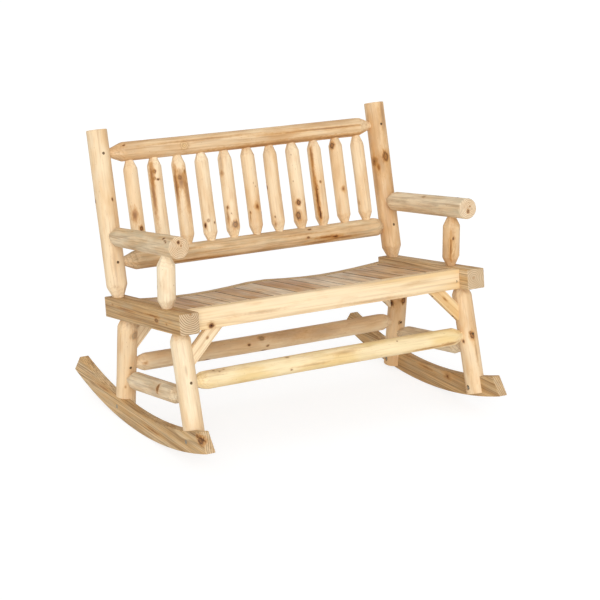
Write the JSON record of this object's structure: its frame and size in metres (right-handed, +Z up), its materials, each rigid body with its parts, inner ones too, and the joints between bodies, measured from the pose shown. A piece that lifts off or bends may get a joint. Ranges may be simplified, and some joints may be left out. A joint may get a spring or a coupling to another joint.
{
  "type": "rocking bench",
  "caption": "Log rocking bench with a scooped slat seat, a reclined back of shaved spindles, log armrests and braced legs lapped onto curved rockers.",
  "frame": {"origin": "on the floor, midway between the two rockers and midway between their tips, with the bench at rest", "axes": "+X along the bench, to the right as seen from the front; +Y towards the back; +Z up"},
  "size_m": [1.125, 0.9678, 0.9298],
  "materials": {
    "peeled_log": "matte",
    "sawn_board": "matte",
    "seat_board": "matte",
    "screw_steel": "dark, dull",
    "bolt_steel": "zinc plated"
  },
  "bodies": {
    "root": {"rocker_left": "sawn_board", "rocker_right": "sawn_board", "front_leg_left": "peeled_log", "front_leg_right": "peeled_log", "rear_leg_left": "peeled_log", "rear_leg_right": "peeled_log", "front_stretcher": "peeled_log", "rear_stretcher": "peeled_log", "side_stretcher_left": "peeled_log", "side_stretcher_right": "peeled_log", "side_rail_left": "sawn_board", "side_rail_right": "sawn_board", "front_rail": "sawn_board", "rear_rail": "sawn_board", "front_ledger": "sawn_board", "rear_ledger": "sawn_board", "seat_slat_01": "seat_board", "seat_slat_02": "seat_board", "seat_slat_03": "seat_board", "seat_slat_04": "seat_board", "seat_slat_05": "seat_board", "seat_slat_06": "seat_board", "seat_slat_07": "seat_board", "seat_slat_08": "seat_board", "seat_slat_09": "seat_board", "seat_slat_10": "seat_board", "seat_slat_11": "seat_board", "seat_slat_12": "seat_board", "seat_slat_13": "seat_board", "seat_slat_14": "seat_board", "seat_slat_15": "seat_board", "back_post_left": "peeled_log", "back_post_right": "peeled_log", "back_top_rail": "peeled_log", "back_bottom_rail": "peeled_log", "back_spindle_01": "peeled_log", "back_spindle_02": "peeled_log", "back_spindle_03": "peeled_log", "back_spindle_04": "peeled_log", "back_spindle_05": "peeled_log", "back_spindle_06": "peeled_log", "back_spindle_07": "peeled_log", "back_spindle_08": "peeled_log", "back_spindle_09": "peeled_log", "back_spindle_10": "peeled_log", "back_spindle_11": "peeled_log", "armrest_left": "peeled_log", "armrest_right": "peeled_log", "arm_support_left": "peeled_log", "arm_support_right": "peeled_log", "brace_front_left": "sawn_board", "brace_front_right": "sawn_board", "brace_rear_left": "sawn_board", "brace_rear_right": "sawn_board", "rocker_bolts": "bolt_steel", "rocker_nuts": "bolt_steel", "frame_screws": "screw_steel", "brace_screws": "screw_steel", "slat_screws": "screw_steel", "armrest_screws": "screw_steel"}
  },
  "joints": []
}
